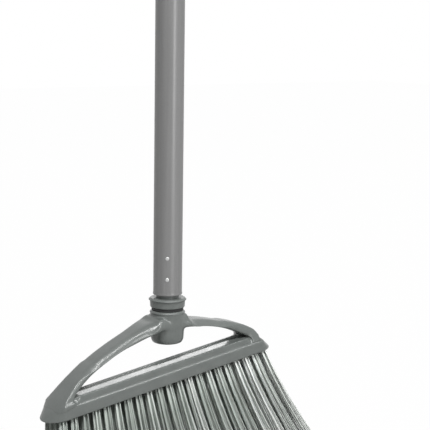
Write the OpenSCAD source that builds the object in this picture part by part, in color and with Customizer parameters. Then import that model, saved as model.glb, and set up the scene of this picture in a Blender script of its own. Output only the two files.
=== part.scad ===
// Angled lobby broom: a tube handle screwed into an arched head that carries a tufted block.
// Origin on the handle axis at the tube's lower end, +Z up the handle, X along the head, front at -Y.

/* [Handle] */
// Length of the steel tube
tube_len = 735; // [500:5:1000]
// Outer diameter of the tube
tube_od = 22; // [20:0.5:25]
// Wall of the tube
tube_wall = 0.8; // [0.6:0.1:1.2]

/* [Hang cap] */
// Height of the cap above the tube
cap_h = 27.6; // [22:0.2:40]
// How far the cap stays inside the tube's outline
cap_step = 0.4; // [0.3:0.1:0.6]
// Depth of the cap's plug in the tube
cap_plug_len = 30; // [15:1:60]
// Diameter of the hole that the broom hangs by
hang_hole_d = 8; // [5:0.5:10]
// Thickness of the flattened tab round the hole
tab_t = 12; // [8:1:16]

/* [Ferrule] */
// Length of the ferrule's plug above the upper rivet
plug_end = 9; // [5:0.5:30]
// Height of the neck groove under the tube's end
neck_h = 2.6; // [1.5:0.1:5]
// Height of the flared collar
collar_h = 7.2; // [5:0.2:12]
// Height of the rim round the collar's upper edge
collar_rim_h = 1.6; // [0.8:0.1:3]
// Diameter of that rim
collar_d = 28.8; // [28:0.2:34]
// Diameter of the collar under its rim
collar_body_d = 27.4; // [26:0.2:28]
// Diameter of the collar at its lower edge
collar_low_d = 26.4; // [25:0.2:27]
// Outer diameter of the threaded spigot
thread_d = 19; // [16:0.5:20]
// Bevel at the spigot's tip
spigot_bevel = 1.5; // [0.5:0.1:3]

/* [Rivets] */
// Height of the lower rivet above the tube's lower end
rivet_low = 12.7; // [8:0.1:20]
// Distance between the two rivets
rivet_spacing = 16.3; // [8:0.1:30]
// How far the rivets are turned to the left of the front
rivet_turn = 37; // [-180:1:180]
// Diameter of a rivet
rivet_d = 2.8; // [2:0.1:3.2]
// Height of a rivet's domed end
rivet_dome_h = 0.25; // [0.15:0.05:0.4]
// How far that end stands proud of the tube
rivet_proud = 0.08; // [0.02:0.01:0.09]
// Depth of a rivet in the ferrule
rivet_bite = 5; // [3:0.5:8]

/* [Friction washer] */
// Height of the washer between the collar and the socket
washer_h = 2.4; // [2:0.2:6]
// Outer diameter of the washer
washer_d = 24.4; // [23:0.2:28]

/* [Head frame] */
// Tilt of the head against the handle, right end up
head_tilt = 8.0; // [0:0.2:12]
// Shift of the head's centre to the left of the handle axis
head_shift = 7.5; // [0:0.5:15]
// Drop from the socket's rim to the arch's top, on the handle axis
crown_drop = 8.7; // [7:0.1:12]
// Span of the arch where it meets the block's top
arch_span = 189; // [170:0.5:200]
// Rise of the arch over the block's top
arch_rise = 35.5; // [33:0.1:40]
// Thickness of the arch strap
strap_t = 5; // [4.6:0.1:7]
// Depth of the arch strap, front to back
strap_w = 19; // [16:0.5:22]
// Rounding of the strap's long edges
strap_round = 2.2; // [0.5:0.1:2.2]
// Radius of the window's lower corners
window_r = 2.5; // [1:0.5:8]
// Height over which the feet flare
flare_h = 22; // [10:0.5:28]
// Depth of the flared feet on the block
foot_w = 27; // [23:0.5:28]
// How far the feet stand out over the strap's outer face
foot_proud = 0.4; // [0.3:0.1:1]
// Height of the bar along the window's lower side
bar_h = 3.4; // [2.5:0.1:5]
// Depth of the bar's flat top
bar_top_w = 18.8; // [16:0.2:22]
// Height of the web along the middle of the bar
web_h = 2.7; // [1:0.1:4]
// Thickness of the web
web_t = 1.6; // [1:0.1:3]
// Diameter of the socket's rim
socket_rim_d = 27.4; // [26.6:0.2:32]
// Height of the socket's rim
socket_rim_h = 1.6; // [0.8:0.1:3]
// Diameter of the socket between its rim and the arch
socket_d = 26.4; // [25:0.2:26.6]
// Diameter of the socket below the arch
socket_low_d = 25.6; // [24:0.2:26]
// Height of the socket
socket_h = 25.6; // [20:0.1:28]
// Floor under the socket's bore
socket_floor = 5.7; // [2:0.1:8]
// Rounding of the socket's lower edge
socket_round = 4; // [1:0.5:6]
// Radius of the fillets between the socket and the arch
saddle_r = 6; // [3:0.5:7]
// Distance from the handle axis over which the strap widens to the socket
shoulder_len = 42; // [25:1:60]
// How far fillets, flares and shoulders start inside the surface that they run into
blend_sink = 0.3; // [0.2:0.05:0.5]
// Diameter of the pegs under the feet
peg_d = 5; // [3:0.5:7]
// Length of the pegs under the feet
peg_len = 4; // [2:0.5:5]
// Distance between the two pegs of a foot, front to back
peg_spacing = 12; // [8:0.5:16]

/* [Bristle block] */
// Width of the block
block_w = 28; // [27:0.5:36]
// Height of the block
block_h = 10.2; // [8:0.1:14]
// Rounding of the block's upper long edges
block_round = 1.2; // [0.5:0.1:2]

/* [Bristles] */
// Free length of the bristles, square to the block
bristle_len = 115; // [80:1:150]
// Distance between neighbouring rows
row_pitch = 6.6; // [6:0.1:7]
// Distance between neighbouring tufts of a row
tuft_pitch = 9.3; // [8:0.1:9.5]
// Diameter of a tuft where it leaves the block
tuft_d = 4.5; // [3.5:0.1:5]
// Strands of a tuft
tuft_strands = 5; // [4:1:6]
// Thickness of a strand
strand_d = 1.4; // [0.8:0.1:1.6]
// Sweep of all bristles to the right
fan_sweep = 8.7; // [0:0.1:15]
// Lean of the outermost tufts away from that sweep
fan_spread = 16.3; // [0:0.1:25]
// Lean of the front and rear rows
row_splay = 5; // [0:0.5:10]
// Share of the lean that a strand takes on by bending
bend_share = 0.25; // [0:0.05:0.5]
// Depth of the slice of the block that carries a row
slice_h = 2; // [1.5:0.1:2.5]
// Width of that slice
slice_w = 5.4; // [5:0.1:5.8]
// Least wall of the block round the slices
slice_wall = 0.8; // [0.5:0.1:1]

/* [Clearances] */
// Radial gap of the two plugs in the tube
plug_gap = 0.05; // [0.02:0.01:0.1]
// Radial gap of the rivets in their holes
rivet_gap = 0.05; // [0.02:0.01:0.1]
// Radial gap between the spigot and the socket's bore
thread_gap = 0.08; // [0.02:0.01:0.1]
// Radial gap between the spigot and the washer
washer_gap = 0.4; // [0.3:0.05:0.6]
// Gap between the washer and the faces on both sides of it
face_gap = 0.05; // [0.02:0.01:0.1]
// Gap between the spigot's tip and the bore's floor
tip_gap = 0.5; // [0.3:0.1:2]
// Gap round the pegs in the block
peg_gap = 0.05; // [0.02:0.01:0.1]
// Gap round the slices in the block
slice_gap = 0.1; // [0.05:0.05:0.3]

/* [Hidden] */
$fn = 96;
eps = 0.01;

// Handle
tube_or = tube_od / 2;
tube_ir = tube_or - tube_wall;
plug_r = tube_ir - plug_gap;
neck_r = (tube_or + tube_ir) / 2;
rivet_z = [rivet_low, rivet_low + rivet_spacing];
plug_len = rivet_low + rivet_spacing + plug_end;
cap_top_r = tube_or - cap_step;
hang_hole_z = tube_len + cap_h - cap_top_r;
collar_z = -neck_h - collar_h;
washer_z = collar_z - face_gap - washer_h;
rim_z = washer_z - face_gap;

// Socket and thread
bore_depth = socket_h - socket_floor;
bore_r = thread_d / 2 + thread_gap;
spigot_tip_z = rim_z - bore_depth + tip_gap;

// Arch: one circle through the two feet and the crown, its centre below the block's top
half_span = arch_span / 2;
arch_r = (half_span * half_span + arch_rise * arch_rise) / (2 * arch_rise);
arch_drop = arch_r - arch_rise;
window_arc_r = arch_r - strap_t;
arch_x = -head_shift + arch_drop * sin(head_tilt);
arch_z = rim_z - crown_drop - sqrt(arch_r * arch_r - arch_x * arch_x);
head_z = arch_z + arch_drop * cos(head_tilt);

// Lower corners of the window: centre of the rounding and its touching point on the arch
inner_arc_r = window_arc_r + blend_sink;
corner_z = window_r - blend_sink;
corner_x = sqrt(pow(inner_arc_r - window_r, 2) - pow(arch_drop + corner_z, 2));
corner_scale = inner_arc_r / (inner_arc_r - window_r);
corner_touch = [corner_x * corner_scale, (arch_drop + corner_z) * corner_scale - arch_drop];

// Flare of the feet: an arc that leaves the strap's side upright and reaches the foot's depth below
flare_start = strap_w / 2 - blend_sink;
flare_out = foot_w / 2 - flare_start;
flare_r = (flare_h * flare_h + flare_out * flare_out) / (2 * flare_out);
peg_x = (corner_x + half_span) / 2;

// Bar: it starts inside the feet, and its base is nearly as deep as they are
bar_half_len = corner_touch.x + window_r;
bar_base = foot_w / 2 - blend_sink;

// Shoulders of the strap: lines from its flat top's edges that touch the socket
shoulder_w = strap_w / 2 - strap_round;
shoulder_r = socket_d / 2 - blend_sink;
shoulder_turn = asin(shoulder_r / norm([shoulder_len, shoulder_w])) - atan(shoulder_w / shoulder_len);
shoulder_touch = shoulder_r * [sin(shoulder_turn), cos(shoulder_turn)];

// Block: its round ends reach just past the arch's circle, which cuts them off at the underside
block_len = 2 * (sqrt(arch_r * arch_r - pow(arch_drop - block_h, 2)) + blend_sink);

// Tuft rows: front to rear, as many tufts as the block's round ends leave room for
row_count = 4;
outer_row_y = (row_count - 1) / 2 * row_pitch;
nose_room = block_w / 2 - slice_wall - slice_gap - slice_w / 2;
row_room = (block_len - block_w) / 2 + sqrt(max(0, nose_room * nose_room - outer_row_y * outer_row_y));
tuft_count = 1 + floor(2 * row_room / tuft_pitch);
fan_half_len = (tuft_count - 1) * tuft_pitch / 2;
strand_sides = 3;
strand_ring_r = (tuft_d - strand_d) / 2;
strand_stations = [-slice_h / 2, bristle_len / 2, bristle_len];

function row_y(row) = row * row_pitch - outer_row_y;

// Lean along the block and across it of a strand that is rooted at p
function lean_x(p) = tan(fan_sweep + fan_spread * p.x / fan_half_len);
function lean_y(p) = tan(row_splay * p.y / outer_row_y);

// Where that strand is at a depth below the block, bending a little more towards its tip
function strand_bend(depth) = max(depth, 0) * (1 - bend_share * (1 - max(depth, 0) / bristle_len));
function strand_at(p, depth) =
    [p.x + strand_bend(depth) * lean_x(p), p.y + strand_bend(depth) * lean_y(p), -block_h - depth];

// Height of a saddle fillet's centre, which runs into the arch
function saddle_z(x) = arch_z + sqrt(pow(arch_r + saddle_r - blend_sink, 2) - pow(x - arch_x, 2));

// A profile drawn in X and Z, given a depth front to back
module across(depth) rotate([90, 0, 0]) linear_extrude(depth, center = true) children();

// A profile drawn in Y and Z, drawn out along X
module along(len) rotate([90, 0, 90]) linear_extrude(len, center = true) children();

// From the block's own frame, with its top centre as origin, to the broom's
module head_place() translate([-head_shift, 0, head_z]) rotate([0, -head_tilt, 0]) children();

// From a rivet's own axis to its place, pointing outwards
module rivet_place(z) {
    translate([0, 0, z]) rotate([0, 0, -90 - rivet_turn]) translate([tube_or, 0, 0]) rotate([0, 90, 0])
        children();
}

module rounded_rect(size, r) {
    square([size.x - 2 * r, size.y], center = true);
    square([size.x, size.y - 2 * r], center = true);
    for (sx = [-1, 1], sy = [-1, 1])
        translate([sx * (size.x / 2 - r), sy * (size.y / 2 - r)]) circle(r);
}

module stadium(len, width) {
    square([len - width, width], center = true);
    for (side = [-1, 1]) translate([side * (len - width) / 2, 0]) circle(width / 2);
}

module rivet_holes() {
    for (z = rivet_z) rivet_place(z) translate([0, 0, -tube_wall - rivet_bite])
        cylinder(r = rivet_d / 2 + rivet_gap, h = 2 * (tube_wall + rivet_bite));
}

module handle_tube() {
    color("silver") difference() {
        cylinder(r = tube_or, h = tube_len);
        translate([0, 0, -eps]) cylinder(r = tube_ir, h = tube_len + 2 * eps);
        rivet_holes();
    }
}

module hang_cap() {
    color("dimgray") difference() {
        union() {
            translate([0, 0, tube_len - cap_plug_len]) cylinder(r = plug_r, h = cap_plug_len + eps);
            translate([0, 0, tube_len]) cylinder(r = cap_top_r, h = cap_h - cap_top_r);
            translate([0, 0, hang_hole_z]) sphere(cap_top_r);
        }
        // The two flats of the hanging tab
        for (side = [-1, 1]) translate([0, side * (tab_t / 2 + tube_or), hang_hole_z])
            cube([2 * tube_od, tube_od, 2 * cap_top_r], center = true);
        translate([0, 0, hang_hole_z]) rotate([90, 0, 0])
            cylinder(d = hang_hole_d, h = 2 * tube_od, center = true);
    }
}

module threaded_ferrule() {
    color("dimgray") difference() {
        union() {
            cylinder(r = plug_r, h = plug_len);
            translate([0, 0, -neck_h - eps]) cylinder(r = neck_r, h = neck_h + eps);
            translate([0, 0, collar_z]) cylinder(d1 = collar_low_d, d2 = collar_body_d, h = collar_h);
            translate([0, 0, -neck_h - collar_rim_h]) cylinder(d = collar_d, h = collar_rim_h);
            translate([0, 0, spigot_tip_z + spigot_bevel])
                cylinder(d = thread_d, h = collar_z - spigot_tip_z - spigot_bevel + eps);
            translate([0, 0, spigot_tip_z])
                cylinder(d1 = thread_d - 2 * spigot_bevel, d2 = thread_d, h = spigot_bevel);
        }
        rivet_holes();
    }
}

module rivet() {
    dome_r = (rivet_d * rivet_d / 4 + rivet_dome_h * rivet_dome_h) / (2 * rivet_dome_h);
    translate([0, 0, -tube_wall - rivet_bite]) intersection() {
        cylinder(d = rivet_d, h = tube_wall + rivet_bite + rivet_proud);
        translate([0, 0, tube_wall + rivet_bite + rivet_proud - dome_r]) sphere(dome_r);
    }
}

module ferrule_rivets() {
    color("gainsboro") for (z = rivet_z) rivet_place(z) rivet();
}

module friction_washer() {
    color("black") translate([0, 0, washer_z]) difference() {
        cylinder(d = washer_d, h = washer_h);
        translate([0, 0, -eps]) cylinder(r = thread_d / 2 + washer_gap, h = washer_h + 2 * eps);
    }
}

// Opening under the arch, with rounded lower corners
module window_2d() {
    intersection() {
        translate([0, -arch_drop]) circle(inner_arc_r);
        polygon([[-corner_x, 0], [corner_x, 0], corner_touch, [corner_touch.x, arch_rise],
                 [-corner_touch.x, arch_rise], [-corner_touch.x, corner_touch.y]]);
    }
    for (side = [-1, 1]) translate([side * corner_x, corner_z]) circle(window_r);
}

// The arch strap: a rounded section turned about the arch's axis and cut off at the block's top
module strap() {
    difference() {
        translate([0, 0, -arch_drop]) rotate([90, 0, 0]) rotate_extrude()
            translate([arch_r - strap_t / 2, 0]) rounded_rect([strap_t, strap_w], strap_round);
        translate([0, 0, -2 * arch_r]) cube(4 * arch_r, center = true);
    }
}

// The strap's middle, as deep as the socket, cut in plan to lines that run out into the strap
module shoulders() {
    rear = [[shoulder_len, shoulder_w], shoulder_touch,
            [-shoulder_touch.x, shoulder_touch.y], [-shoulder_len, shoulder_w]];
    front = [for (p = rear) [-p.x, -p.y]];
    intersection() {
        head_place() across(socket_d) translate([0, -arch_drop]) difference() {
            circle(arch_r - blend_sink);
            circle(inner_arc_r);
        }
        translate([0, 0, head_z]) linear_extrude(rim_z - head_z) polygon(concat(rear, front));
    }
}

// Side outline of both feet, which fill the corners under the strap
module feet_2d() {
    difference() {
        intersection() {
            translate([0, -arch_drop]) circle(arch_r + foot_proud);
            translate([-half_span, 0]) square([arch_span, flare_h]);
        }
        window_2d();
    }
}

// Front to back outline of a foot, from the strap's depth to the flared base
module flare_2d() {
    difference() {
        translate([-foot_w / 2, 0]) square([foot_w, flare_h]);
        for (side = [-1, 1]) translate([side * (flare_start + flare_r), flare_h]) circle(flare_r);
    }
}

module feet() {
    intersection() {
        across(foot_w) feet_2d();
        along(arch_span) flare_2d();
    }
    for (side = [-1, 1], row = [-1, 1])
        translate([side * peg_x, row * peg_spacing / 2, -peg_len]) cylinder(d = peg_d, h = peg_len + eps);
}

// The bar along the window's lower side, with a web along its middle
module bar() {
    along(2 * bar_half_len) {
        polygon([[-bar_base, 0], [bar_base, 0], [bar_top_w / 2, bar_h], [-bar_top_w / 2, bar_h]]);
        translate([-web_t / 2, 0]) square([web_t, bar_h + web_h]);
    }
}

// Half section of the socket, from its rim down
module socket_2d() {
    low_r = socket_low_d / 2;
    translate([0, -socket_rim_h]) square([socket_rim_d / 2, socket_rim_h]);
    translate([0, -socket_h / 2]) square([socket_d / 2, socket_h / 2 - eps]);
    translate([0, socket_round - socket_h]) square([low_r, socket_h - socket_round - eps]);
    translate([0, -socket_h]) square([low_r - socket_round, socket_h - eps]);
    translate([low_r - socket_round, socket_round - socket_h]) circle(socket_round);
}

// Web with a round fillet between the socket's side and the arch
module saddle(side) {
    x = side * (socket_d / 2 + saddle_r - blend_sink);
    z = saddle_z(x);
    across(strap_w) difference() {
        translate([min(0, x), z - saddle_r - strap_t / 2]) square([abs(x), saddle_r + strap_t / 2]);
        translate([x, z]) circle(saddle_r);
    }
}

module head_frame() {
    color("slategray") difference() {
        union() {
            head_place() {
                strap();
                feet();
                bar();
            }
            shoulders();
            translate([0, 0, rim_z]) rotate_extrude() socket_2d();
            for (side = [-1, 1]) saddle(side);
        }
        translate([0, 0, rim_z - bore_depth]) cylinder(r = bore_r, h = bore_depth + eps);
    }
}

// Side outline of the block: its ends carry on the arch's curve
module block_side_2d() {
    intersection() {
        translate([0, -arch_drop]) circle(arch_r);
        translate([-arch_r, -block_h]) square([2 * arch_r, block_h]);
    }
}

// Front to back outline of the block, with rounded upper edges
module block_section_2d() {
    translate([-block_w / 2, -block_h]) square([block_w, block_h - block_round]);
    translate([block_round - block_w / 2, -block_h]) square([block_w - 2 * block_round, block_h]);
    for (side = [-1, 1]) translate([side * (block_w / 2 - block_round), -block_round]) circle(block_round);
}

// Slice of the block's underside that carries a row, grown by a gap
module slice(row, gap) {
    len = 2 * fan_half_len + slice_w;
    translate([0, row_y(row), -block_h]) linear_extrude(slice_h) stadium(len + 2 * gap, slice_w + 2 * gap);
}

module bristle_block() {
    color("gray") head_place() difference() {
        intersection() {
            across(block_w) block_side_2d();
            along(block_len) block_section_2d();
            translate([0, 0, -block_h]) linear_extrude(block_h) stadium(block_len, block_w);
        }
        for (side = [-1, 1], row = [-1, 1])
            translate([side * peg_x, row * peg_spacing / 2, -peg_len - peg_gap])
                cylinder(r = peg_d / 2 + peg_gap, h = 2 * peg_len);
        for (row = [0 : row_count - 1]) slice(row, slice_gap);
    }
}

// One strand: a bent three-sided rod from inside the slice to the cut tips
module strand(p) {
    rings = len(strand_stations);
    points = [for (depth = strand_stations) for (k = [0 : strand_sides - 1])
        strand_at(p, depth) + strand_d / 2 * [cos(k * 360 / strand_sides), sin(k * 360 / strand_sides), 0]];
    last = (rings - 1) * strand_sides;
    sides = [for (r = [0 : rings - 2]) for (k = [0 : strand_sides - 1])
        let (a = r * strand_sides + k, b = r * strand_sides + (k + 1) % strand_sides)
        each [[a, b, b + strand_sides], [a, b + strand_sides, a + strand_sides]]];
    polyhedron(points, concat([[0, 2, 1]], sides, [[last, last + 1, last + 2]]));
}

module tuft_row(row) {
    color("darkseagreen") head_place() {
        slice(row, 0);
        for (i = [0 : tuft_count - 1], k = [0 : tuft_strands - 1]) {
            turn = (k + 0.5 * (i % 2)) * 360 / tuft_strands;
            strand([i * tuft_pitch - fan_half_len + strand_ring_r * cos(turn),
                    row_y(row) + strand_ring_r * sin(turn)]);
        }
    }
}

handle_tube();
hang_cap();
threaded_ferrule();
ferrule_rivets();
friction_washer();
head_frame();
bristle_block();
tuft_row(0);  // front_tuft_row
tuft_row(1);  // mid_front_tuft_row
tuft_row(2);  // mid_rear_tuft_row
tuft_row(3);  // rear_tuft_row
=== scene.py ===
# %% [markdown]
# # A lobby broom, dressed for the camera
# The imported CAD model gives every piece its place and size. This lesson loads it as a fixed frame and
# then makes each visible piece again with the roundings, threads, filaments and finishes that the real
# one has. All sizes below are in millimetres, and MM turns them into Blender's metres.

# %% Load the frame
import math

import bmesh
import bpy
from mathutils import Matrix, Vector


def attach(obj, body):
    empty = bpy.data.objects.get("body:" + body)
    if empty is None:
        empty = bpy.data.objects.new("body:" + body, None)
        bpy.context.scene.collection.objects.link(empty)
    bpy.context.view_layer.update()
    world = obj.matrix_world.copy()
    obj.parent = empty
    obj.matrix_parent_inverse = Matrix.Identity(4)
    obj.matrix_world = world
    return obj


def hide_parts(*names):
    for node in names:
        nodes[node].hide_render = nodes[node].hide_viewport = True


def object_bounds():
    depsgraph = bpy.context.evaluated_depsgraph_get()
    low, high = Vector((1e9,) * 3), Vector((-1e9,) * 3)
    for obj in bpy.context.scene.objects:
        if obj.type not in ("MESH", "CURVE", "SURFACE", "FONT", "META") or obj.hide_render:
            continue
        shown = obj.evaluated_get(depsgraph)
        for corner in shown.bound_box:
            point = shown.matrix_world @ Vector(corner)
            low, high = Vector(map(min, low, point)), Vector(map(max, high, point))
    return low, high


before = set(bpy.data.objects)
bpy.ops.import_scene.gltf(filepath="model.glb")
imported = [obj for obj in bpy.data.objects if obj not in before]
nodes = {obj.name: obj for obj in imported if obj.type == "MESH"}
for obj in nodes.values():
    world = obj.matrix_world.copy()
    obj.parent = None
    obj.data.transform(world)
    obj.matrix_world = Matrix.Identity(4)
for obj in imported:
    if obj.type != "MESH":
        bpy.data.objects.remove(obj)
cad_low, cad_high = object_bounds()
MM = 0.001
print("frame", [round(x / MM) for x in cad_high - cad_low], "mm")

# %% [markdown]
# ## Camera
# The camera stands to the left of the front, a metre away and a little above the head, and looks slightly
# down. The photograph is square, so the lens follows from its focal length in pixels: 36 mm of sensor
# stand for 430 pixels. Three axes turn the camera, which leaves no rounding from angles.

# %% Camera
FRAME_PX, FOCAL_PX, SENSOR = 430, 1297.4, 36.0
CAMERA_PLACE = Vector((-558.600, -795.523, 205.856))
CAMERA_RIGHT = Vector((0.79815038, -0.60228664, 0.01437955))
CAMERA_UP = Vector((0.07736663, 0.12613837, 0.98899116))
CAMERA_BACK = Vector((-0.59746997, -0.78825118, 0.14727428))
camera_data = bpy.data.cameras.new("camera")
camera_data.sensor_width = SENSOR
camera_data.lens = SENSOR * FOCAL_PX / FRAME_PX
camera = bpy.data.objects.new("camera", camera_data)
bpy.context.scene.collection.objects.link(camera)
camera_turn = Matrix((CAMERA_RIGHT, CAMERA_UP, CAMERA_BACK)).transposed().to_4x4()
camera.matrix_world = Matrix.Translation(CAMERA_PLACE * MM) @ camera_turn
bpy.context.scene.camera = camera
print("lens", round(camera_data.lens, 2), "mm")

# %% [markdown]
# ## Nodes and colours
# Light, finishes and repeated pieces are all node trees. One small function adds a node, sets it and
# links it, so a tree reads like a recipe. Colours are written as a screen shows them, and one function
# turns them into the linear values that Blender reckons with.

# %% One small function for nodes
def add(tree, kind, settings=None, sockets=None):
    """Adds a node. A socket value that is itself a socket becomes a link."""
    made = tree.nodes.new(kind)
    for key, value in (settings or {}).items():
        setattr(made, key, value)
    for key, value in (sockets or {}).items():
        if isinstance(value, bpy.types.NodeSocket):
            tree.links.new(value, made.inputs[key])
        else:
            made.inputs[key].default_value = value
    return made


# %% Colours
SRGB_KNEE, SRGB_SLOPE, SRGB_SHIFT, SRGB_POWER = 0.04045, 12.92, 0.055, 2.4


def linear(code):
    """An sRGB hex colour as linear RGBA."""
    parts = [int(code[i:i + 2], 16) / 255 for i in (1, 3, 5)]
    return [c / SRGB_SLOPE if c <= SRGB_KNEE else ((c + SRGB_SHIFT) / (1 + SRGB_SHIFT)) ** SRGB_POWER
            for c in parts] + [1.0]


print("middle grey in linear light", round(linear("#808080")[0], 3))

# %% [markdown]
# ## Floor and light
# The broom stands on a plain pale floor in front of a white backdrop. More light would turn them white
# too, but it would bleach the broom. So the floor and the world show white only to the camera and to
# reflections, and give the object plain soft light.

# %% Rays that look
def looking(tree):
    """1 for rays that look: straight, off a reflection or through a clear piece. 0 for light that falls."""
    path = add(tree, "ShaderNodeLightPath")
    total = path.outputs["Is Camera Ray"]
    for ray in ("Is Transmission Ray", "Is Glossy Ray"):
        total = add(tree, "ShaderNodeMath", {"operation": "ADD", "use_clamp": True},
                    {0: total, 1: path.outputs[ray]}).outputs[0]
    return total


# %% World
AMBIENT, WHITE = 0.2, (1, 1, 1, 1)
world = bpy.data.worlds.new("studio")
bpy.context.scene.world = world
world.use_nodes = True
tree = world.node_tree
tree.nodes.clear()
level = add(tree, "ShaderNodeMapRange", {}, {"Value": looking(tree), "To Min": AMBIENT, "To Max": 1.0})
light = add(tree, "ShaderNodeBackground", {}, {"Color": WHITE, "Strength": level.outputs[0]})
add(tree, "ShaderNodeOutputWorld", {}, {"Surface": light.outputs[0]})
print("world", len(tree.nodes), "nodes, soft light of", AMBIENT)

# %% Floor
FLOOR_SIZE, SHOWN_WHITE = 12.0, 0.99
half = FLOOR_SIZE / 2
floor_corners = [(x, y, cad_low.z) for x, y in ((-half, -half), (half, -half), (half, half), (-half, half))]
floor_mesh = bpy.data.meshes.new("floor")
floor_mesh.from_pydata(floor_corners, [], [(0, 1, 2, 3)])
floor = bpy.data.objects.new("floor", floor_mesh)
bpy.context.scene.collection.objects.link(floor)
# Matt paint: no reflection, only an even pale grey that takes the object's shadow.
floor_paint = bpy.data.materials.new("pale_studio_floor")
floor_paint.use_nodes = True
tree = floor_paint.node_tree
tree.nodes.clear()
share = add(tree, "ShaderNodeMath", {"operation": "MULTIPLY"}, {0: looking(tree), 1: SHOWN_WHITE})
paint = add(tree, "ShaderNodeBsdfDiffuse", {}, {"Color": linear("#bcbcba")})
white = add(tree, "ShaderNodeEmission", {}, {"Color": WHITE, "Strength": 1.0})
mixed = add(tree, "ShaderNodeMixShader", {}, {0: share.outputs[0], 1: paint.outputs[0], 2: white.outputs[0]})
add(tree, "ShaderNodeOutputMaterial", {}, {"Surface": mixed.outputs[0]})
floor_mesh.materials.append(floor_paint)
print("floor at", round(cad_low.z / MM, 1), "mm")

# %% [markdown]
# A softbox high on the left is the main light, a long one beside it draws the bright edges, a low upright
# strip puts the light band on the tube, and a small panel behind is what the flat ledge on the head
# mirrors. Area lamps are chosen because their shape shows in every glossy edge.

# %% Lamps
# Azimuth from the front and elevation in degrees, distance, width and height in metres, power in watts.
LAMPS = {
    "high_softbox": (-42, 56, 3.0, 1.0, 0.7, 54.0),
    "edge_light": (11, 55, 3.0, 2.5, 0.16, 50.0),
    "front_strip": (3, 12, 3.0, 0.34, 2.2, 42.0),
    "back_panel": (149, 21, 3.0, 0.7, 0.3, 4.6)}
bpy.context.scene.view_settings.view_transform = "Standard"
for name, (azimuth, elevation, distance, width, height, power) in LAMPS.items():
    lamp_data = bpy.data.lights.new(name, "AREA")
    lamp_data.shape, lamp_data.energy = "RECTANGLE", power
    lamp_data.size, lamp_data.size_y = width, height
    lamp = bpy.data.objects.new(name, lamp_data)
    bpy.context.scene.collection.objects.link(lamp)
    turn, rise = math.radians(azimuth), math.radians(elevation)
    aim = Vector((math.sin(turn) * math.cos(rise), -math.cos(turn) * math.cos(rise), math.sin(rise)))
    lamp.matrix_world = Matrix.Translation(aim * distance) @ aim.to_track_quat("Z", "Y").to_matrix().to_4x4()
    print(name, power, "W")

# %% [markdown]
# ## Finishes
# The tube is steel with a satin grey coat, so it mirrors light softly and keeps a faint drawn streak
# along its length. The head and the ferrule are moulded polypropylene: even grey with a trace of green, a
# fine eroded grain from the mould and slow flow marks. A picture could be wrapped round each piece, but
# noise that is worked out from real sizes has no seams and needs no file.

# %% A finish with grain
# Mould grain is about 0.1 mm wide, too fine to show here, so each grain is drawn several times as coarse.
SPECK_SHARE, DRIFT_DETAIL, SPECK_DETAIL = 0.35, 3.0, 2.0
DRIFT_LOW, DRIFT_HIGH = 0.3, 0.7


def grained(name, dark, light, streak, roughness, grain, grain_depth, **sockets):
    """A surface whose tone drifts between two colours, with a fine grain. streak is the drift's size in mm
    along x, y and z, grain the size of one grain in mm and grain_depth its depth in mm."""
    made = bpy.data.materials.new(name)
    made.use_nodes = True
    t = made.node_tree
    shader = t.nodes["Principled BSDF"]
    place = add(t, "ShaderNodeTexCoord").outputs["Object"]
    stretch = add(t, "ShaderNodeMapping", {}, {"Vector": place, "Scale": [1 / (s * MM) for s in streak]})
    drift = add(t, "ShaderNodeTexNoise", {}, {
        "Vector": stretch.outputs[0], "Scale": 1.0, "Detail": DRIFT_DETAIL}).outputs["Fac"]
    speck = add(t, "ShaderNodeTexNoise", {}, {
        "Vector": place, "Scale": 1 / (grain * MM), "Detail": SPECK_DETAIL}).outputs["Fac"]
    both = add(t, "ShaderNodeMix", {}, {0: SPECK_SHARE, 2: drift, 3: speck})
    tone = add(t, "ShaderNodeValToRGB", {}, {0: both.outputs[0]})
    for end, position, code in zip(tone.color_ramp.elements, (DRIFT_LOW, DRIFT_HIGH), (dark, light)):
        end.position, end.color = position, linear(code)
    rough = add(t, "ShaderNodeMapRange", {}, {
        "Value": drift, "From Min": DRIFT_LOW, "From Max": DRIFT_HIGH,
        "To Min": roughness[0], "To Max": roughness[1]})
    bump = add(t, "ShaderNodeBump", {}, {"Height": speck, "Strength": 1.0, "Distance": grain_depth * MM})
    t.links.new(tone.outputs[0], shader.inputs["Base Color"])
    t.links.new(rough.outputs[0], shader.inputs["Roughness"])
    t.links.new(bump.outputs[0], shader.inputs["Normal"])
    for key, value in sockets.items():
        shader.inputs[key.replace("_", " ")].default_value = value
    return made


# %% Finishes of the broom
# Coated steel: soft broad reflections, faint drawing lines along the tube.
coated_steel = grained("satin_coated_steel", "#6b6b6b", "#767676", streak=(3, 3, 160),
                       roughness=(0.34, 0.42), grain=0.9, grain_depth=0.004, Metallic=0.15)
# Moulded polypropylene: even colour, soft gloss, fine mould grain.
moulded_grey = grained("moulded_polypropylene_grey", "#595d5b", "#636765", streak=(14, 14, 9),
                       roughness=(0.2, 0.27), grain=0.8, grain_depth=0.01, Specular_IOR_Level=0.45)
# Filled polypropylene, for the ferrule and the cap: duller, with a coarser and deeper grain.
moulded_dark = grained("moulded_polypropylene_dark", "#565a58", "#646866", streak=(6, 6, 4),
                       roughness=(0.34, 0.46), grain=0.9, grain_depth=0.02)
# Rubber scatters almost everything that it does not swallow.
rubber = grained("black_rubber", "#171818", "#222323", streak=(4, 4, 4),
                 roughness=(0.6, 0.75), grain=0.7, grain_depth=0.02)
# Zinc plated rivets: bright, slightly clouded metal.
zinc = grained("zinc_plated_steel", "#b4b5b4", "#c9cac9", streak=(1.2, 1.2, 1.2),
               roughness=(0.34, 0.44), grain=0.4, grain_depth=0.004, Metallic=1.0)
print("finishes", [m.name for m in (coated_steel, moulded_grey, moulded_dark, rubber, zinc)])
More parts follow.
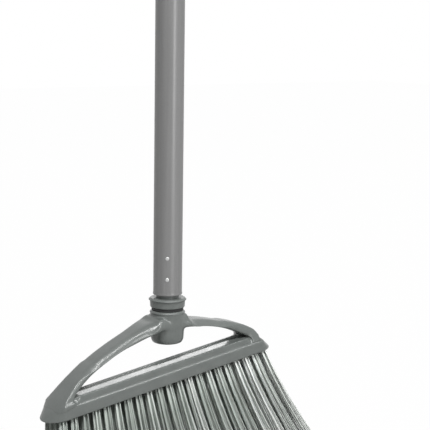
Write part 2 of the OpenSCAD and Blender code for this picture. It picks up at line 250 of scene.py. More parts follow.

# %% [markdown]
# The filaments are drawn polypropylene, each a little lighter or darker than its neighbour. One material
# serves them all: every strand carries its tone as an attribute, and a colour ramp reads it. Besides the
# random part, that tone holds a painted light that lightens the fan towards its right end.

# %% Filament
# Drawn filament: glossy along its length, tone from the strand's own attribute.
FILAMENT_SHADES, MIDDLE_TONE, FILAMENT_ROUGH = ("#6e7570", "#a6ada7", "#eceeec"), 0.5, 0.32
filament = bpy.data.materials.new("drawn_polypropylene_filament")
filament.use_nodes = True
tree = filament.node_tree
shader = tree.nodes["Principled BSDF"]
own_tone = add(tree, "ShaderNodeAttribute", {"attribute_name": "tone"})
shades = add(tree, "ShaderNodeValToRGB", {}, {0: own_tone.outputs["Fac"]})
shades.color_ramp.elements.new(MIDDLE_TONE)
for stop, code in zip(shades.color_ramp.elements, FILAMENT_SHADES):
    stop.color = linear(code)
tree.links.new(shades.outputs[0], shader.inputs["Base Color"])
shader.inputs["Roughness"].default_value = FILAMENT_ROUGH
print(filament.name, len(FILAMENT_SHADES), "shades")

# %% [markdown]
# ## Turned pieces
# Tube, ferrule and washer are round about the handle's axis. A Screw modifier could turn them, but a few
# lines of lathe let each corner of the outline have its own rounding: an outline of radius and height is
# rounded at its corners and carried round the axis. The roundings matter more than the shape, as they
# catch the thin bright rings that the photograph shows.

# %% A finished piece
def link(name, mesh, finish):
    """Puts a mesh in the scene as a smooth piece of one finish."""
    made = bpy.data.objects.new(name, mesh)
    bpy.context.scene.collection.objects.link(made)
    mesh.materials.clear()
    mesh.materials.append(finish)
    mesh.shade_smooth()
    return made


# %% Lathe
ROUND_STEPS, AROUND, WELD = 5, 112, 0.001


def softened(corners, closed):
    """An outline of (radius, height, rounding), with each corner drawn as a short curve."""
    count, outline = len(corners), []
    for i, (r, z, rounding) in enumerate(corners):
        here = Vector((r, z))
        if rounding == 0 or (not closed and i in (0, count - 1)):
            outline.append(here)
            continue
        start = here + (Vector(corners[i - 1][:2]) - here).normalized() * rounding
        end = here + (Vector(corners[(i + 1) % count][:2]) - here).normalized() * rounding
        for k in range(ROUND_STEPS + 1):
            s = k / ROUND_STEPS
            outline.append(start * (1 - s) ** 2 + here * 2 * s * (1 - s) + end * s ** 2)
    return outline


def bridged(shape, rings, closed):
    """Joins each ring of vertices to the next one with faces."""
    for i in range(len(rings) if closed else len(rings) - 1):
        lower, upper = rings[i], rings[(i + 1) % len(rings)]
        for k in range(len(lower)):
            m = (k + 1) % len(lower)
            shape.faces.new((lower[k], lower[m], upper[m], upper[k]))


def closed_mesh(name, shape):
    """Merges what meets, turns all faces outwards and keeps the result as a mesh."""
    bmesh.ops.remove_doubles(shape, verts=shape.verts, dist=WELD * MM)
    bmesh.ops.recalc_face_normals(shape, faces=shape.faces)
    mesh = bpy.data.meshes.new(name)
    shape.to_mesh(mesh)
    shape.free()
    print(name, len(mesh.polygons), "faces")
    return mesh


def turned(name, corners, closed, finish):
    """Carries an outline round the handle's axis."""
    shape = bmesh.new()
    rings = []
    for p in softened(corners, closed):
        rings.append([shape.verts.new(Vector((p.x * math.cos(a), p.x * math.sin(a), p.y)) * MM)
                      for a in (2 * math.pi * k / AROUND for k in range(AROUND))])
    bridged(shape, rings, closed)
    return link(name, closed_mesh(name, shape), finish)


# %% [markdown]
# ### Tube
# The handle is a coated steel tube. Its lower end is rolled out into a low bead, which runs back to the
# tube's own radius. The bead belongs to the outline, since on the real tube it is the same sheet of
# steel.

# %% Tube
TUBE_R, TUBE_WALL, TUBE_LEN, TUBE_ROUND = 11.0, 0.8, 735.0, 0.3
BEAD_R, BEAD_H, BEAD_RUN = 11.2, 1.3, 0.5
BEAD_LOW_ROUND, BEAD_TOP_ROUND, BEAD_RUN_ROUND = 0.5, 0.4, 0.2
tube = turned("steel_tube", [
    (TUBE_R - TUBE_WALL, 0, TUBE_ROUND), (BEAD_R, 0, BEAD_LOW_ROUND), (BEAD_R, BEAD_H, BEAD_TOP_ROUND),
    (TUBE_R, BEAD_H + BEAD_RUN, BEAD_RUN_ROUND), (TUBE_R, TUBE_LEN, TUBE_ROUND),
    (TUBE_R - TUBE_WALL, TUBE_LEN, TUBE_ROUND)], closed=True, finish=coated_steel)
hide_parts("handle_tube")
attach(tube, "handle")

# %% [markdown]
# ### Ferrule
# The ferrule is the plastic end of the handle. From above it has the plug in the tube, the neck groove,
# the collar with its bevelled rim, and the spigot's core. One outline makes them all, since they are one
# moulding, and the thread is laid on later.

# %% Ferrule
PLUG_R, PLUG_LEN, PLUG_LOW, PLUG_ROUND = 10.15, 38.0, 0.2, 0.6
NECK_R, NECK_TOP, RIM_ROUND = 8.6, -0.1, 0.3
RIM_TOP, RIM_LOW, RIM_STEP, COLLAR_LOW, COLLAR_ROUND = -2.6, -4.2, 0.3, -9.8, 0.6
RIM_R, RIM_BEVEL, COLLAR_R, COLLAR_LOW_R = 14.4, 1.3, 13.5, 13.2
CORE_R, CORE_ROUND, TIP, TIP_BEVEL, TIP_ROUND = 8.1, 0.5, -31.7, 1.5, 0.4
ferrule = turned("screw_ferrule", [
    (0, PLUG_LEN, 0), (PLUG_R, PLUG_LEN, PLUG_ROUND), (PLUG_R, PLUG_LOW, 0),
    (NECK_R, NECK_TOP, RIM_ROUND), (NECK_R, RIM_TOP, RIM_ROUND), (RIM_R - RIM_BEVEL, RIM_TOP, RIM_ROUND),
    (RIM_R, RIM_TOP - RIM_BEVEL, RIM_ROUND), (RIM_R, RIM_LOW, RIM_ROUND),
    (COLLAR_R, RIM_LOW - RIM_STEP, RIM_ROUND), (COLLAR_LOW_R, COLLAR_LOW, COLLAR_ROUND),
    (CORE_R, COLLAR_LOW, CORE_ROUND), (CORE_R, TIP + TIP_BEVEL, TIP_ROUND),
    (CORE_R - TIP_BEVEL, TIP, TIP_ROUND), (0, TIP, 0)], closed=False, finish=moulded_dark)
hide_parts("threaded_ferrule")
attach(ferrule, "handle")

# %% [markdown]
# ### Washer
# A rubber ring between the collar and the socket keeps the screw from working loose. It is smaller than
# both, so it shows as a dark gap, and its edge is well rounded because the screw presses it out.

# %% Washer
WASHER_TOP, WASHER_LOW, WASHER_R, WASHER_BORE = -9.87, -12.23, 12.2, 9.9
WASHER_ROUND, BORE_ROUND = 0.9, 0.4
washer = turned("rubber_washer", [
    (WASHER_BORE, WASHER_TOP, BORE_ROUND), (WASHER_R, WASHER_TOP, WASHER_ROUND),
    (WASHER_R, WASHER_LOW, WASHER_ROUND), (WASHER_BORE, WASHER_LOW, BORE_ROUND)], closed=True, finish=rubber)
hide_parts("friction_washer")
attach(washer, "washer")

# %% [markdown]
# ## Pieces that a rule makes
# Geometry Nodes suit what repeats or follows a path. A tree is built here with named inputs, an empty
# object carries it as a modifier, and the result is taken as a plain mesh, because that is what an export
# can use.

# %% Tree helpers
SOCKETS = {float: "NodeSocketFloat", int: "NodeSocketInt", bpy.types.Material: "NodeSocketMaterial"}


def new_tree(name, **inputs):
    """A tree with a geometry output and an input for each named value. Returns the tree and its inputs."""
    made = bpy.data.node_groups.new(name, "GeometryNodeTree")
    made.interface.new_socket("Geometry", in_out="OUTPUT", socket_type="NodeSocketGeometry")
    for key, value in inputs.items():
        made.interface.new_socket(key, in_out="INPUT", socket_type=SOCKETS[type(value)])
    return made, add(made, "NodeGroupInput").outputs


def ends_in(tree, geometry, finish):
    """Closes a tree: real geometry, smooth faces, one finish."""
    real = add(tree, "GeometryNodeRealizeInstances", {}, {0: geometry})
    smooth = add(tree, "GeometryNodeSetShadeSmooth", {}, {0: real.outputs[0]})
    coat = add(tree, "GeometryNodeSetMaterial", {}, {"Geometry": smooth.outputs[0], "Material": finish})
    add(tree, "NodeGroupOutput", {}, {0: coat.outputs[0]})
    print(tree.name, len(tree.nodes), "nodes")


# %% From a tree to a mesh
def settled(made, name):
    """Keeps what the modifiers of an object make as its own plain mesh."""
    mesh = bpy.data.meshes.new_from_object(made.evaluated_get(bpy.context.evaluated_depsgraph_get()))
    made.modifiers.clear()
    made.data = mesh
    mesh.name = name
    print(name, len(mesh.polygons), "faces")
    return mesh


def grown(name, tree, **inputs):
    """Runs a tree on an empty object and keeps the result."""
    made = bpy.data.objects.new(name, bpy.data.meshes.new(name))
    bpy.context.scene.collection.objects.link(made)
    runner = made.modifiers.new("grow", "NODES")
    runner.node_group = tree
    for item in tree.interface.items_tree:
        if item.in_out == "INPUT":
            runner[item.identifier] = inputs[item.name]
    settled(made, name)
    return made


# %% [markdown]
# ### Thread
# A coarse rounded thread runs down the spigot and shows when the head is screwed off. It could be cut out
# of the core, but one rib that follows a spiral line is lighter, and its pitch is the screw's own.

# %% Thread
PITCH, THREAD_TURNS, THREAD_R, RIB_R, TIP_CLEAR = 5.08, 3.9, 8.35, 0.95, 1.7
TURN_STEPS, RIB_SIDES = 64, 10
thread_sizes = {"Turns": THREAD_TURNS, "Height": PITCH * THREAD_TURNS * MM, "Radius": THREAD_R * MM,
                "Rib": RIB_R * MM, "Start": (TIP + TIP_CLEAR) * MM, "Finish": moulded_dark}
tree, put = new_tree("Screw thread", **thread_sizes)
line = add(tree, "GeometryNodeCurveSpiral", {}, {
    "Resolution": TURN_STEPS, "Rotations": put["Turns"], "Start Radius": put["Radius"],
    "End Radius": put["Radius"], "Height": put["Height"]})
section = add(tree, "GeometryNodeCurvePrimitiveCircle", {}, {"Resolution": RIB_SIDES, "Radius": put["Rib"]})
rib = add(tree, "GeometryNodeCurveToMesh", {}, {
    "Curve": line.outputs[0], "Profile Curve": section.outputs[0], "Fill Caps": True})
lift = add(tree, "ShaderNodeCombineXYZ", {}, {"Z": put["Start"]})
placed = add(tree, "GeometryNodeTransform", {}, {"Geometry": rib.outputs[0], "Translation": lift.outputs[0]})
ends_in(tree, placed.outputs[0], put["Finish"])
thread = grown("screw_thread", tree, **thread_sizes)
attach(thread, "handle")

# %% [markdown]
# ### Rivets
# Two low rivet heads hold the ferrule in the tube, one above the other. Each is a ball squeezed flat
# against the tube's wall, and the tree sets one ball on each point of a short line.

# %% Rivets
RIVETS, RIVET_SPACING, RIVET_FIRST, RIVET_R, RIVET_DOME = 2, 16.3, 12.7, 1.4, 0.25
FRONT, RIVET_LEFT = -90, 37
BALL_SEGMENTS, BALL_RINGS = 28, 14
rivet_sizes = {"Count": RIVETS, "Spacing": RIVET_SPACING * MM, "First": RIVET_FIRST * MM, "Out": TUBE_R * MM,
               "Turn": math.radians(FRONT - RIVET_LEFT), "Head": RIVET_R * MM, "Dome": RIVET_DOME * MM,
               "Finish": zinc}
tree, put = new_tree("Rivet pair", **rivet_sizes)
lowest = add(tree, "ShaderNodeCombineXYZ", {}, {"X": put["Out"], "Z": put["First"]})
lowest = add(tree, "ShaderNodeVectorRotate", {"rotation_type": "Z_AXIS"}, {
    "Vector": lowest.outputs[0], "Angle": put["Turn"]})
step = add(tree, "ShaderNodeCombineXYZ", {}, {"Z": put["Spacing"]})
line = add(tree, "GeometryNodeMeshLine", {}, {
    "Count": put["Count"], "Start Location": lowest.outputs[0], "Offset": step.outputs[0]})
ball = add(tree, "GeometryNodeMeshUVSphere", {}, {
    "Segments": BALL_SEGMENTS, "Rings": BALL_RINGS, "Radius": 1.0})
size = add(tree, "ShaderNodeCombineXYZ", {}, {"X": put["Dome"], "Y": put["Head"], "Z": put["Head"]})
facing = add(tree, "ShaderNodeCombineXYZ", {}, {"Z": put["Turn"]})
heads = add(tree, "GeometryNodeInstanceOnPoints", {}, {
    "Points": line.outputs[0], "Instance": ball.outputs[0],
    "Rotation": facing.outputs[0], "Scale": size.outputs[0]})
ends_in(tree, heads.outputs[0], put["Finish"])
rivets = grown("ferrule_rivet_heads", tree, **rivet_sizes)
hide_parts("ferrule_rivets")
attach(rivets, "handle")

# %% [markdown]
# ## Moulded pieces
# A mould can't have the sharp inner corners of a plain solid: where the arch meets the socket and the
# feet, the real plastic flows. Bevels would have to be picked edge by edge. Instead a copy of the CAD
# solid is wrapped in a fine even skin and the skin is relaxed, which rounds each edge a little and fills
# each corner.

# %% Relaxed skin
RELAX = 0.5


def merged_copy(node):
    """A copy of a CAD solid, whose loose triangles are joined."""
    mesh = nodes[node].data.copy()
    shape = bmesh.new()
    shape.from_mesh(mesh)
    bmesh.ops.remove_doubles(shape, verts=shape.verts, dist=WELD * MM)
    shape.to_mesh(mesh)
    shape.free()
    return mesh


def relaxed(name, mesh, voxel, passes, finish):
    """Wraps a mesh in a skin of small even faces and relaxes it."""
    made = link(name, mesh, finish)
    skin = made.modifiers.new("skin", "REMESH")
    skin.mode, skin.voxel_size, skin.use_smooth_shade = "VOXEL", voxel * MM, True
    relax = made.modifiers.new("relax", "SMOOTH")
    relax.factor, relax.iterations = RELAX, passes
    done = settled(made, name)
    done.materials.clear()
    done.materials.append(finish)
    done.shade_smooth()
    return made


# %% [markdown]
# ### Hang cap
# A plug with a flat tab and a hole closes the tube's upper end, and the broom hangs by it. The CAD solid
# has the right shape already, so only its skin is relaxed.

# %% Hang cap
CAP_SKIN, CAP_PASSES = 0.5, 6
cap = relaxed("hang_cap_moulded", merged_copy("hang_cap"), CAP_SKIN, CAP_PASSES, moulded_dark)
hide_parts("hang_cap")
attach(cap, "handle")

# %% [markdown]
# ### Head frame
# The frame is the arch with its feet, its bar and the socket. The head leans, with its right end higher,
# so the frame is shaped in the head's own axes: x runs along the block, and z = 0 is the block's top.
# First its foot faces sink a little into the block, so that no groove opens at the joint.

# %% The head's own axes
HEAD_TILT, HEAD_SHIFT, HEAD_Z = math.radians(8.0), 7.5, -57.353
to_head = Matrix.Translation(Vector((-HEAD_SHIFT, 0, HEAD_Z)) * MM) @ Matrix.Rotation(-HEAD_TILT, 4, "Y")
from_head = to_head.inverted()


def reshaped(mesh, rule):
    """Moves each vertex by a rule that is written in the head's own axes, in mm."""
    farthest = 0.0
    for v in mesh.vertices:
        p = from_head @ v.co / MM
        moved = rule(p)
        farthest = max(farthest, (moved - p).length)
        v.co = to_head @ (moved * MM)
    print(rule.__name__, "moves up to", round(farthest, 2), "mm")


def ramp(value, start, full):
    """0 before start, 1 after full, and smooth between them."""
    share = min(1.0, max(0.0, (value - start) / (full - start)))
    return share * share * (3 - 2 * share)


# %% Head frame
FLAT, SINK = 0.05, 1.0
FRAME_SKIN, FRAME_PASSES = 0.54, 10


def seated(p):
    """The faces that stand on the block sink into it."""
    return p - Vector((0, 0, SINK)) if p.z < FLAT else p


frame_mesh = merged_copy("head_frame")
reshaped(frame_mesh, seated)
head_frame = relaxed("moulded_head_frame", frame_mesh, FRAME_SKIN, FRAME_PASSES, moulded_grey)
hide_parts("head_frame")
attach(head_frame, "head")

# %% [markdown]
# Between the feet the bar's front is steep and its top broad, with a low rib in the middle, and it falls
# away behind the rib. The flat ledge in front of the rib mirrors the backdrop and shows as a white band.
# Moving the skin's own vertices keeps the bar in one piece with the feet.

# %% Bar
BAR_H, BAR_SIDE, RIB_SIDE = 3.4, 9.4, 1.5
LEDGE_H, LEDGE_SIDE, RIB_LOW, REAR_DROP = 4.4, 12.0, 0.55, 2.2
BAR_CLEAR, BAR_END, LEDGE_CLEAR = 77.0, 84.0, 0.3


def bar_shape(p):
    """Raises and widens the ledge, lowers the rib and drops the rear, all fading out before the feet."""
    over_ledge = p.z > BAR_H + LEDGE_CLEAR and abs(p.y) > RIB_SIDE
    if over_ledge or p.z > BAR_H + LEDGE_H or abs(p.x) > BAR_END:
        return p
    near = 1 - ramp(abs(p.x), BAR_CLEAR, BAR_END)
    share = min(1.0, max(0.0, p.z / BAR_H))
    rear = REAR_DROP * ramp(p.y, RIB_SIDE, BAR_SIDE)
    height = (LEDGE_H - rear) * share + max(0.0, p.z - BAR_H) * RIB_LOW + min(0.0, p.z)
    out = (LEDGE_SIDE - BAR_SIDE) * share * ramp(-p.y, RIB_SIDE, BAR_SIDE)
    return p.lerp(Vector((p.x, p.y - out, height)), near)


reshaped(head_frame.data, bar_shape)

# %% [markdown]
# Each arm has a broad bevel along its front edge, which is what draws the light band on the left one. The
# left arm grows deeper towards the socket and rises to meet it, and both arms are a little wider beside
# the socket. All of that fades out into the feet. The right foot has a full heel and ends short of the
# block's nose.

# %% Sizes of the arms
ARCH_R, ARCH_DROP = 143.528, 108.028
STRAP_HALF, STRAP_SIDE = 2.5, 9.5
STRAP_MID, STRAP_NEAR, STRAP_FAR = ARCH_R - STRAP_HALF, 3.0, 9.0
BEVEL, BEVEL_SLOPE, FOOT_TOP, ARM_FULL = 3.2, 1.5, 14.0, 24.0
SOCKET_X, BEVEL_END, BEVEL_FULL = 12.3, 15.0, 26.0
SWELL_START, SWELL_FULL, SWELL_DEEP = -46.0, -13.0, 1.5
RISE_START, RISE_FULL, RISE = -28.0, 2.0, 2.6
JOIN_START, JOIN_END = 0.0, 12.0
WAIST, WAIST_END, WAIST_FULL, WAIST_IN, WAIST_OUT = 0.2, 44.0, 14.0, 6.0, 15.0
FOOT_END, FOOT_DRAWN, FOOT_FLUSH = 87.0, 0.5, 0.12
HEEL, HEEL_START, HEEL_FULL, HEEL_LOW, HEEL_HIGH = 2.4, 54.0, 82.0, 0.5, 5.0
print("arch", ARCH_R, "mm in radius,", round(ARCH_R - ARCH_DROP, 1), "mm high")


# %% Arms
def arm_shape(p):
    """Moves a point in or out along the arch's radius, then along the head and across it."""
    radius = Vector((p.x, 0, p.z + ARCH_DROP))
    level = radius.length - STRAP_MID
    near = ramp(p.z, FOOT_TOP, ARM_FULL) * (1 - ramp(abs(level), STRAP_NEAR, STRAP_FAR))
    left = near * (1 - ramp(p.x, JOIN_START, JOIN_END))
    deep = SWELL_DEEP * ramp(p.x, SWELL_START, SWELL_FULL) * max(-1.0, min(1.0, level / STRAP_HALF))
    lift = left * (deep + RISE * ramp(p.x, RISE_START, RISE_FULL))
    over = max(0.0, -p.y - STRAP_SIDE + BEVEL) * BEVEL_SLOPE
    beside = ramp(math.hypot(p.x - SOCKET_X, p.y), BEVEL_END, BEVEL_FULL)
    cut = near * beside * over * max(0.0, level + STRAP_HALF) / (2 * STRAP_HALF)
    heel = ramp(p.x, HEEL_START, HEEL_FULL) * ramp(p.z, HEEL_LOW, HEEL_HIGH)
    heel *= HEEL * ramp(level, -STRAP_HALF, STRAP_HALF)
    moved = radius.normalized() * (radius.length + lift - cut + heel)
    x = moved.x - max(0.0, moved.x - FOOT_END) * FOOT_DRAWN + max(0.0, -moved.x - FOOT_END) * FOOT_FLUSH
    off = abs(p.x - SOCKET_X)
    waist = WAIST * ramp(off, WAIST_IN, WAIST_OUT) * (1 - ramp(off, WAIST_FULL, WAIST_END))
    return Vector((x, p.y * (1 + near * waist), moved.z - ARCH_DROP))


reshaped(head_frame.data, arm_shape)

# %% [markdown]
# Outside the socket and above the bar the skin is relaxed once more, which softens the bevels and the
# feet. Only chosen points move, so the socket and the bar keep their edges.

# %% Arms relaxed
ARM_LOW, SOCKET_OUT, RIM_UNDER, ARM_PASSES = 5.0, 11.5, -15.5, 36
shape = bmesh.new()
shape.from_mesh(head_frame.data)
arms = [v for v in shape.verts if v.co.xy.length > SOCKET_OUT * MM and v.co.z < RIM_UNDER * MM
        and (from_head @ v.co).z > ARM_LOW * MM]
for _ in range(ARM_PASSES):
    bmesh.ops.smooth_vert(shape, verts=arms, factor=RELAX, use_axis_x=True, use_axis_y=True, use_axis_z=True)
print("arms relaxed", len(arms), "points")
shape.to_mesh(head_frame.data)
shape.free()

# %% [markdown]
# The skin has rounded the bore a little too, so its wall goes back to the bore's radius, and the ferrule
# keeps its clearance. The rim gets a bevel that shows as a light ring. Both are round about the handle's
# axis, so here the part's own axes serve.

# %% Bore and rim of the socket
BORE_R, BORE_MIN, BORE_MAX, SOCKET_FLOOR = 9.75, 8.5, 11.0, -31.6
SOCKET_RIM_R, SOCKET_BEVEL_Z = 13.7, -13.6
for v in head_frame.data.vertices:
    reach, z = v.co.xy.length / MM, v.co.z / MM
    if BORE_MIN < reach < BORE_MAX and z > SOCKET_FLOOR:
        v.co.xy *= max(1.0, BORE_R / reach)
    elif z > SOCKET_BEVEL_Z:
        v.co.xy *= min(1.0, (SOCKET_RIM_R + SOCKET_BEVEL_Z - z) / reach)
print("bore", BORE_R, "mm in radius")

# %% [markdown]
# ## Block
# The block under the frame is a long bar with round noses. A cube with bevels would not follow the noses,
# so it is built level by level: each level is an outline with straight sides and a nose at both ends, and
# the levels close in at the edges, where the upper edge is nearly a flat bevel. In side view the noses
# carry on the arch's circle, so the upper levels have short square noses and the lower levels full round
# ones.

# %% Levels of the block
BLOCK_HALF, BLOCK_W, BLOCK_H = 105.02, 14.0, 10.2
STRAIGHT = BLOCK_HALF - BLOCK_W
EDGE_TOP, EDGE_FLAT, EDGE_LOW, CORE = 1.6, 0.8, 1.2, 0.5
EDGE_STEPS, WALL_STEPS = 6, 6


def block_levels():
    """(inset from the side, height) from the underside's middle to the top's middle."""
    rows = [(BLOCK_W - CORE, -BLOCK_H), (BLOCK_W / 2, -BLOCK_H)]
    for k in range(EDGE_STEPS + 1):
        a = math.pi / 2 * k / EDGE_STEPS
        rows.append((EDGE_LOW * (1 - math.sin(a)), -BLOCK_H + EDGE_LOW * (1 - math.cos(a))))
    wall = BLOCK_H - EDGE_LOW - EDGE_TOP
    rows += [(0, -BLOCK_H + EDGE_LOW + wall * k / WALL_STEPS) for k in range(1, WALL_STEPS)]
    for k in range(EDGE_STEPS + 1):
        a = math.pi / 2 * k / EDGE_STEPS
        round_edge = Vector((1 - math.cos(a), math.sin(a) - 1)) * EDGE_TOP
        flat_edge = Vector((k, k - EDGE_STEPS)) * EDGE_TOP / EDGE_STEPS
        rows.append(tuple(round_edge.lerp(flat_edge, EDGE_FLAT)))
    return rows + [(BLOCK_W / 2, 0), (BLOCK_W - CORE, 0)]


print("block", len(block_levels()), "levels")

# %% Outline of a level
SQUARE_NOSE, NOSE_STEPS, SIDE_STEPS = 0.12, 24, 40


def nose_end(height):
    """How far the nose reaches past the straight sides at a height."""
    return math.sqrt(ARCH_R ** 2 - (ARCH_DROP + height) ** 2) - STRAIGHT


def nose_power(height):
    """1 makes an elliptic nose, less than 1 a squarer one."""
    return 1 - SQUARE_NOSE * (height + BLOCK_H) / BLOCK_H


def block_outline(inset, height):
    """The points of one level: a nose and a side, and the same again turned half round."""
    side = BLOCK_W - inset
    nose, power = nose_end(height) * side / BLOCK_W, nose_power(height)
    ring = []
    for way in (1, -1):
        for k in range(NOSE_STEPS + 1):
            a = math.pi * (k / NOSE_STEPS - 0.5)
            out, across = abs(math.cos(a)) ** power, math.copysign(abs(math.sin(a)) ** power, math.sin(a))
            ring.append((way * (STRAIGHT + nose * out), way * side * across, height))
        for k in range(1, SIDE_STEPS):
            ring.append((way * STRAIGHT * (1 - 2 * k / SIDE_STEPS), way * side, height))
    return ring


print("nose", round(nose_end(0.0), 1), "mm long above and", round(nose_end(-BLOCK_H), 1), "mm below")

# %% Block
shape = bmesh.new()
rings = [[shape.verts.new(to_head @ (Vector(p) * MM)) for p in block_outline(*row)] for row in block_levels()]
bridged(shape, rings, closed=False)
shape.faces.new(rings[0])
shape.faces.new(rings[-1])
block = link("bristle_bar", closed_mesh("bristle_bar", shape), moulded_grey)
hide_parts("bristle_block")
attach(block, "head")

# %% [markdown]
# The left foot doesn't stop at the block's top: it slides down the nose and hugs it, so the joint dips
# there. A rule turns the foot's skin about the arch's centre and then presses it to just outside the
# nose.

# %% Left foot's skirt
SKIRT, SKIRT_START, SKIRT_FULL, SKIRT_TOP = 4.6, 76.0, 98.0, 12.0
HUG_START, HUG_FULL, HUG_TOP, HUG_END = 74.0, 84.0, 3.0, 18.0
FLARE, PROUD = 0.1, 1.018


def skirt(p):
    """Slides a point down the arch's circle, then moves it out to the nose's own outline."""
    turn = SKIRT / ARCH_R * ramp(-p.x, SKIRT_START, SKIRT_FULL) * (1 - ramp(p.z, 0.0, SKIRT_TOP))
    slid = Matrix.Rotation(-turn, 3, "Y") @ Vector((p.x, p.y, p.z + ARCH_DROP))
    z = slid.z - ARCH_DROP
    hug = ramp(-p.x, HUG_START, HUG_FULL) * (1 - ramp(z, HUG_TOP, HUG_END))
    low = max(-BLOCK_H, min(0.0, z))
    end, power = nose_end(low), 2 / nose_power(low)
    past = max(0.0, end - slid.x - nose_end(max(low, min(HUG_END, z))) - STRAIGHT)
    reach = ((past / end) ** power + abs(slid.y / BLOCK_W) ** power) ** (1 / power)
    flare = 1 + FLARE * (1 - ramp(z, 0.0, HUG_TOP))
    grow = 1 + hug * (min(flare, PROUD / max(reach, PROUD / flare)) - 1)
    return Vector((slid.x + past - past * grow, slid.y * grow, z))


reshaped(head_frame.data, skirt)

# %% [markdown]
# ## Bristles
# Each tuft is a bundle of filaments pulled into a hole of the block. Hair particles could draw them, but
# an export needs real rods, so one tree makes a row and four rows share it. The strands of a tuft start
# on a sunflower pattern, so none starts inside another, and open a little towards the tips. The tufts
# lean with their place: the whole fan is swept to the right and spreads towards both ends.

# %% Sizes of a row
# Open and stray are sideways travel for each length of depth, and bend is the share of the lean that
# grows with depth. A filament is drawn thicker than a real one, so that it shows.
row_sizes = {
    "Tufts": 21, "Strands": 26, "Reach": 93.0 * MM, "Offset": 0.0, "Tuft": 2.7 * MM, "Strand": 0.42 * MM,
    "Length": 115.0 * MM, "Sink": 1.5 * MM, "Sweep": math.radians(8.7), "Spread": math.radians(16.3),
    "Splay": 0.0, "Bend": 0.25, "Open": math.tan(math.radians(1.5)), "Stray": math.tan(math.radians(0.9)),
    "Seed": 1, "Finish": filament}
tree, put = new_tree("Tuft row", **row_sizes)
print("a row has", row_sizes["Tufts"] * row_sizes["Strands"], "strands")

# %% [markdown]
# ### Where each strand starts
# A grid gives the numbers: along the row a column for each tuft, across it a line for each strand. The
# line's number turns by the golden angle, and its root sets how far out the strand stands. Each tuft is
# turned by its place too, so that no two look alike.

# %% Where each strand starts
MATH, VECTOR, COMBINE, POSITION = (
    "ShaderNodeMath", "ShaderNodeVectorMath", "ShaderNodeCombineXYZ", "GeometryNodeInputPosition")
GOLDEN, TUFT_TURN, GRID_WIDE = math.pi * (3 - math.sqrt(5)), 180.0, 1.0
row_len = add(tree, MATH, {"operation": "MULTIPLY"}, {0: put["Reach"], 1: 2.0})
grid = add(tree, "GeometryNodeMeshGrid", {}, {
    "Size X": row_len.outputs[0], "Size Y": GRID_WIDE,
    "Vertices X": put["Tufts"], "Vertices Y": put["Strands"]})
spot = add(tree, "ShaderNodeSeparateXYZ", {}, {0: add(tree, POSITION).outputs[0]})
tuft_x = spot.outputs["X"]
part = add(tree, MATH, {"operation": "ADD"}, {0: spot.outputs["Y"], 1: GRID_WIDE / 2})
out_share = add(tree, MATH, {"operation": "SQRT"}, {0: part.outputs[0]})
strand = add(tree, MATH, {"operation": "MULTIPLY"}, {0: part.outputs[0], 1: put["Strands"]})
tuft_turn = add(tree, MATH, {"operation": "MULTIPLY"}, {0: tuft_x, 1: TUFT_TURN})
turn = add(tree, MATH, {"operation": "MULTIPLY_ADD"}, {
    0: strand.outputs[0], 1: GOLDEN, 2: tuft_turn.outputs[0]})
out = add(tree, COMBINE, {}, {"X": out_share.outputs[0]})
out = add(tree, "ShaderNodeVectorRotate", {"rotation_type": "Z_AXIS"}, {
    "Vector": out.outputs[0], "Angle": turn.outputs[0]})
hole = add(tree, COMBINE, {}, {"X": tuft_x, "Y": put["Offset"], "Z": -BLOCK_H * MM})
root = add(tree, VECTOR, {"operation": "MULTIPLY_ADD"}, {
    0: out.outputs[0], 1: put["Tuft"], 2: hole.outputs[0]})
print("places", len(tree.nodes), "nodes so far")

# %% [markdown]
# ### How each strand leans and how light it is
# Lean is sideways travel for each length of depth: by place in the row, by place in the tuft, and by
# chance. A part of the tone is the strand's own and a part belongs to its tuft, both at random. On top of
# that the fan is painted lighter towards the right: this is painted light, not the filament's colour.

# %% How each strand leans
along = add(tree, MATH, {"operation": "DIVIDE"}, {0: tuft_x, 1: put["Reach"]})
swept = add(tree, MATH, {"operation": "MULTIPLY_ADD"}, {
    0: along.outputs[0], 1: put["Spread"], 2: put["Sweep"]})
tilts = add(tree, COMBINE, {}, {"X": swept.outputs[0], "Y": put["Splay"]})
lean = add(tree, VECTOR, {"operation": "TANGENT"}, {0: tilts.outputs[0]})
lean = add(tree, VECTOR, {"operation": "MULTIPLY_ADD"}, {
    0: out.outputs[0], 1: put["Open"], 2: lean.outputs[0]})
chance = add(tree, "FunctionNodeRandomValue", {"data_type": "FLOAT_VECTOR"}, {
    0: (-1, -1, 0), 1: (1, 1, 0), "Seed": put["Seed"]})
lean = add(tree, VECTOR, {"operation": "MULTIPLY_ADD"}, {
    0: chance.outputs[0], 1: put["Stray"], 2: lean.outputs[0]})
print("leans", len(tree.nodes), "nodes so far")

# %% How light each strand is
STRAND_TONE, TUFT_TONE, PAINTED_SIDE_LIGHT = 0.34, 0.26, 0.3
DARKEST = MIDDLE_TONE - (STRAND_TONE + TUFT_TONE) / 2
tuft_tone = add(tree, "ShaderNodeTexWhiteNoise", {"noise_dimensions": "2D"}, {"Vector": hole.outputs[0]})
tuft_tone = add(tree, MATH, {"operation": "MULTIPLY_ADD"}, {
    0: tuft_tone.outputs["Value"], 1: TUFT_TONE, 2: DARKEST})
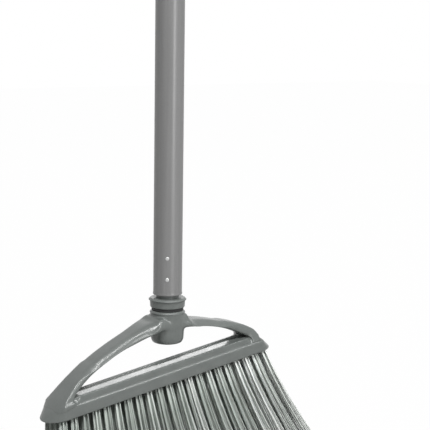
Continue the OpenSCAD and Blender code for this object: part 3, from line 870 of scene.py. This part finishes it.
# Painted light: the tone rises along the row, so the right end of the fan is painted lighter.
painted_side_light = add(tree, MATH, {"operation": "MULTIPLY_ADD"}, {
    0: along.outputs[0], 1: PAINTED_SIDE_LIGHT, 2: tuft_tone.outputs[0]})
chance = add(tree, "FunctionNodeRandomValue", {"data_type": "FLOAT"}, {"Seed": put["Seed"]})
tone = add(tree, MATH, {"operation": "MULTIPLY_ADD"}, {
    0: chance.outputs[1], 1: STRAND_TONE, 2: painted_side_light.outputs[0]})
print("tones from", round(DARKEST, 2), "to", round(DARKEST + TUFT_TONE + STRAND_TONE, 2), "in the middle")

# %% [markdown]
# ### Strands
# Each strand is a thin rod of few faces, since there are two thousand of them. Its points keep their own
# depth, and each start keeps its lean and its tone. Once the rods are real they bend by lean and depth
# together, and the row tilts with the head.

# %% A rod and the starts
STRAND_SIDES, STRAND_STEPS, HALF_DOWN = 4, 5, -0.5
STORE = "GeometryNodeStoreNamedAttribute"
full = add(tree, MATH, {"operation": "ADD"}, {0: put["Length"], 1: put["Sink"]})
rod = add(tree, "GeometryNodeMeshCylinder", {"fill_type": "NGON"}, {
    "Vertices": STRAND_SIDES, "Side Segments": STRAND_STEPS,
    "Radius": put["Strand"], "Depth": full.outputs[0]})
drop = add(tree, MATH, {"operation": "MULTIPLY_ADD"}, {0: full.outputs[0], 1: HALF_DOWN, 2: put["Sink"]})
drop = add(tree, COMBINE, {}, {"Z": drop.outputs[0]})
hung = add(tree, "GeometryNodeTransform", {}, {
    "Geometry": rod.outputs["Mesh"], "Translation": drop.outputs[0]})
height = add(tree, "ShaderNodeSeparateXYZ", {}, {0: add(tree, POSITION).outputs[0]})
under = add(tree, MATH, {"operation": "MULTIPLY"}, {0: height.outputs["Z"], 1: -1.0})
depth = add(tree, MATH, {"operation": "MAXIMUM"}, {0: under.outputs[0], 1: 0.0})
rods = add(tree, STORE, {"data_type": "FLOAT", "domain": "POINT"}, {
    "Geometry": hung.outputs[0], "Name": "depth", "Value": depth.outputs[0]})
starts = add(tree, STORE, {"data_type": "FLOAT_VECTOR", "domain": "POINT"}, {
    "Geometry": grid.outputs[0], "Name": "lean", "Value": lean.outputs[0]})
starts = add(tree, STORE, {"data_type": "FLOAT", "domain": "POINT"}, {
    "Geometry": starts.outputs[0], "Name": "tone", "Value": tone.outputs[0]})
starts = add(tree, "GeometryNodeSetPosition", {}, {
    "Geometry": starts.outputs[0], "Position": root.outputs[0]})
print("a rod has", STRAND_SIDES * STRAND_STEPS + 2, "faces")

# %% Bent strands
KEPT = "GeometryNodeInputNamedAttribute"
spread = add(tree, "GeometryNodeInstanceOnPoints", {}, {
    "Points": starts.outputs[0], "Instance": rods.outputs[0]})
real = add(tree, "GeometryNodeRealizeInstances", {}, {0: spread.outputs[0]})
kept_lean = add(tree, KEPT, {"data_type": "FLOAT_VECTOR"}, {"Name": "lean"})
kept_depth = add(tree, KEPT, {"data_type": "FLOAT"}, {"Name": "depth"})
deep = add(tree, MATH, {"operation": "DIVIDE"}, {0: kept_depth.outputs[0], 1: put["Length"]})
straight = add(tree, MATH, {"operation": "SUBTRACT"}, {0: 1.0, 1: put["Bend"]})
taken = add(tree, MATH, {"operation": "MULTIPLY_ADD"}, {
    0: deep.outputs[0], 1: put["Bend"], 2: straight.outputs[0]})
travel = add(tree, MATH, {"operation": "MULTIPLY"}, {0: taken.outputs[0], 1: kept_depth.outputs[0]})
shift = add(tree, VECTOR, {"operation": "SCALE"}, {0: kept_lean.outputs[0], "Scale": travel.outputs[0]})
bent = add(tree, "GeometryNodeSetPosition", {}, {"Geometry": real.outputs[0], "Offset": shift.outputs[0]})
tilted = add(tree, "GeometryNodeTransform", {}, {
    "Geometry": bent.outputs[0], "Translation": (-HEAD_SHIFT * MM, 0, HEAD_Z * MM),
    "Rotation": (0, -HEAD_TILT, 0)})
ends_in(tree, tilted.outputs[0], put["Finish"])

# %% [markdown]
# ### Four rows
# The rows stand side by side under the block, splay a little to the front and to the rear, and differ
# only in that and in their seed.

# %% Four rows
ROWS, ROW_PITCH, ROW_SPLAY = ("front", "mid_front", "mid_rear", "rear"), 6.6, math.radians(3.5)
half_rows = (len(ROWS) - 1) / 2
for row, name in enumerate(ROWS):
    bristles = grown(name + "_bristles", tree, **{
        **row_sizes, "Offset": (row - half_rows) * ROW_PITCH * MM, "Splay": (row / half_rows - 1) * ROW_SPLAY,
        "Seed": row + 1})
    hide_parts(name + "_tuft_row")
    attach(bristles, "head")
